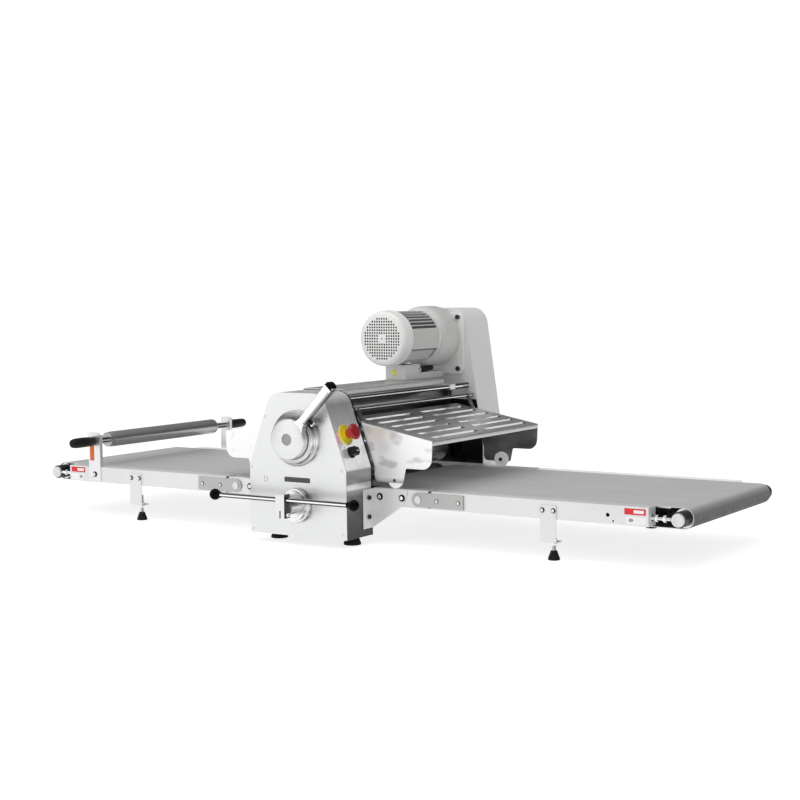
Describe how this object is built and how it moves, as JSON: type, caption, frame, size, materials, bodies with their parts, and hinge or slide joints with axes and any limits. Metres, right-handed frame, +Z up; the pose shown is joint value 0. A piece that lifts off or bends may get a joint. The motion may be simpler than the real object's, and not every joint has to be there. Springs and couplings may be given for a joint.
{
  "type": "dough sheeter",
  "caption": "Bench-top dough sheeter with folding belt tables, swing-up slotted guards, gap lever, top-mounted motor and a rolling-pin rack.",
  "frame": {"origin": "on the worktop, under the centre of the whole machine", "axes": "+Z up, +X to the operator's right along the belts, -Y towards the gap lever and its operator"},
  "size_m": [2.0512, 0.927, 0.609],
  "materials": {
    "stainless": "fine brushed stainless",
    "polished_steel": "polished stainless",
    "chrome": "hard chrome",
    "grey_paint": "light grey satin paint",
    "motor_casting": "light grey paint on a casting",
    "plain_steel": "bright zinc-plated or ground steel",
    "rail_paint": "near-white satin",
    "belt": "matt woven belt with a coated face",
    "foot_rubber": "matt",
    "grip": "matt black grips on a steel spindle",
    "wheel_plastic": "white nylon",
    "yellow_plastic": "satin",
    "red_plastic": "glossy",
    "black_plastic": "matt"
  },
  "bodies": {
    "frame": {"front_plate": "stainless", "front_casing": "polished_steel", "front_frame_plate": "stainless", "rear_frame_plate": "grey_paint", "rear_cover": "grey_paint", "top_cover": "stainless", "right_guard_rod": "chrome", "left_guard_rod": "chrome", "front_foot_bar": "foot_rubber", "rear_foot_bar": "foot_rubber", "index_ring": "polished_steel", "motor_body": "motor_casting", "fan_cowl": "grey_paint", "drive_chain": "plain_steel", "terminal_box": "grey_paint", "estop_base": "yellow_plastic", "right_front_gusset": "rail_paint", "right_rear_gusset": "rail_paint", "left_front_gusset": "rail_paint", "left_rear_gusset": "rail_paint", "right_fixed_bed": "plain_steel", "left_fixed_bed": "plain_steel", "right_inner_belt": "belt", "left_inner_belt": "belt"},
    "lower_roll": {"lower_roll": "chrome"},
    "carriage": {"roll_carriage": "chrome"},
    "upper_roll": {"upper_roll": "chrome"},
    "gap_lever": {"gap_lever": "polished_steel"},
    "right_drive_roller": {"right_drive_roller": "plain_steel"},
    "left_drive_roller": {"left_drive_roller": "plain_steel"},
    "motor_rotor": {"motor_rotor": "plain_steel"},
    "control_bar": {"control_bar": "chrome"},
    "estop_button": {"estop_button": "red_plastic"},
    "selector_knob": {"selector_knob": "black_plastic"},
    "right_guard": {"right_guard": "stainless"},
    "left_guard": {"left_guard": "stainless"},
    "right_front_wheel": {"right_front_wheel": "wheel_plastic"},
    "right_rear_wheel": {"right_rear_wheel": "wheel_plastic"},
    "left_front_wheel": {"left_front_wheel": "wheel_plastic"},
    "left_rear_wheel": {"left_rear_wheel": "wheel_plastic"},
    "right_table": {"right_front_rail": "rail_paint", "right_rear_rail": "rail_paint", "right_table_bed": "plain_steel", "right_front_leg": "plain_steel", "right_rear_leg": "plain_steel", "right_end_shaft": "plain_steel", "right_belt": "belt"},
    "left_table": {"left_front_rail": "rail_paint", "left_rear_rail": "rail_paint", "left_table_bed": "plain_steel", "left_front_leg": "plain_steel", "left_rear_leg": "plain_steel", "left_end_shaft": "plain_steel", "left_belt": "belt", "front_upright": "stainless", "rear_upright": "stainless"},
    "right_end_roller": {"right_end_roller": "plain_steel"},
    "left_end_roller": {"left_end_roller": "plain_steel"},
    "pin_shaft": {"pin_shaft": "grip"},
    "pin_roller": {"pin_roller": "polished_steel"}
  },
  "joints": [
    {"name": "lower_roll_spin", "type": "hinge", "parent": "frame", "child": "lower_roll", "pos_m": [0, 0.0385, 0.102], "axis": [0, 1, 0], "continuous": true},
    {"name": "carriage_lift", "type": "slide", "parent": "frame", "child": "carriage", "axis": [0, 0, 1], "range_m": [-0.0075, 0.02]},
    {"name": "upper_roll_spin", "type": "hinge", "parent": "carriage", "child": "upper_roll", "pos_m": [0, 0.0385, 0.198], "axis": [0, 1, 0], "continuous": true},
    {"name": "lever_turn", "type": "hinge", "parent": "frame", "child": "gap_lever", "pos_m": [0, -0.4265, 0.2785], "axis": [0, -1, 0], "range_deg": [-27.3, 72.8]},
    {"name": "right_drive_spin", "type": "hinge", "parent": "frame", "child": "right_drive_roller", "pos_m": [0.075, 0.0385, 0.1204], "axis": [0, 1, 0], "continuous": true},
    {"name": "left_drive_spin", "type": "hinge", "parent": "frame", "child": "left_drive_roller", "pos_m": [-0.075, 0.0385, 0.1204], "axis": [0, 1, 0], "continuous": true},
    {"name": "motor_spin", "type": "hinge", "parent": "frame", "child": "motor_rotor", "pos_m": [-0.0175, 0.0385, 0.521], "axis": [0, 1, 0], "continuous": true},
    {"name": "control_rock", "type": "hinge", "parent": "frame", "child": "control_bar", "pos_m": [0, -0.3832, 0.104], "axis": [0, -1, 0], "range_deg": [-12, 12]},
    {"name": "estop_press", "type": "slide", "parent": "frame", "child": "estop_button", "axis": [-0.9391, 0, -0.3437], "range_m": [0, 0.004], "stiffness_N_per_m": 1500, "springref_m": -0.006},
    {"name": "selector_turn", "type": "hinge", "parent": "frame", "child": "selector_knob", "pos_m": [0.14002, -0.338, 0.2441], "axis": [0.9391, 0, 0.3437], "range_deg": [-45, 45]},
    {"name": "right_guard_lift", "type": "hinge", "parent": "frame", "child": "right_guard", "pos_m": [0.104, 0.0385, 0.349], "axis": [0, -1, 0], "range_deg": [0, 65]},
    {"name": "left_guard_lift", "type": "hinge", "parent": "frame", "child": "left_guard", "pos_m": [-0.104, 0.0385, 0.349], "axis": [0, 1, 0], "range_deg": [0, 65]},
    {"name": "right_table_fold", "type": "hinge", "parent": "frame", "child": "right_table", "pos_m": [0.297, 0.0385, 0.124], "axis": [0, -1, 0], "range_deg": [0, 50]},
    {"name": "left_table_fold", "type": "hinge", "parent": "frame", "child": "left_table", "pos_m": [-0.297, 0.0385, 0.124], "axis": [0, 1, 0], "range_deg": [0, 50]},
    {"name": "right_end_spin", "type": "hinge", "parent": "right_table", "child": "right_end_roller", "pos_m": [1, 0.0385, 0.1204], "axis": [0, 1, 0], "continuous": true},
    {"name": "left_end_spin", "type": "hinge", "parent": "left_table", "child": "left_end_roller", "pos_m": [-1, 0.0385, 0.1204], "axis": [0, 1, 0], "continuous": true},
    {"name": "pin_lift", "type": "slide", "parent": "left_table", "child": "pin_shaft", "axis": [0, 0, 1], "range_m": [0, 0.035]},
    {"name": "pin_spin", "type": "hinge", "parent": "pin_shaft", "child": "pin_roller", "pos_m": [-0.838, 0.0385, 0.2215], "axis": [0, 1, 0], "continuous": true},
    {"name": "right_front_wheel_spin", "type": "hinge", "parent": "right_guard", "child": "right_front_wheel", "pos_m": [0.221, -0.25335, 0.1682], "axis": [0, 1, 0], "continuous": true},
    {"name": "right_rear_wheel_spin", "type": "hinge", "parent": "right_guard", "child": "right_rear_wheel", "pos_m": [0.221, 0.30285, 0.1682], "axis": [0, 1, 0], "continuous": true},
    {"name": "left_front_wheel_spin", "type": "hinge", "parent": "left_guard", "child": "left_front_wheel", "pos_m": [-0.221, -0.25335, 0.1682], "axis": [0, 1, 0], "continuous": true},
    {"name": "left_rear_wheel_spin", "type": "hinge", "parent": "left_guard", "child": "left_rear_wheel", "pos_m": [-0.221, 0.30285, 0.1682], "axis": [0, 1, 0], "continuous": true}
  ],
  "couplings": [
    {"joint": "lever_turn", "follows": "carriage_lift", "rad_per_m": 63.47},
    {"joint": "upper_roll_spin", "follows": "lower_roll_spin", "ratio": -1},
    {"joint": "right_drive_spin", "follows": "lower_roll_spin", "ratio": 1.72},
    {"joint": "left_drive_spin", "follows": "lower_roll_spin", "ratio": 1.72},
    {"joint": "right_end_spin", "follows": "lower_roll_spin", "ratio": 1.72},
    {"joint": "left_end_spin", "follows": "lower_roll_spin", "ratio": 1.72},
    {"joint": "motor_spin", "follows": "lower_roll_spin", "ratio": 2.02}
  ]
}
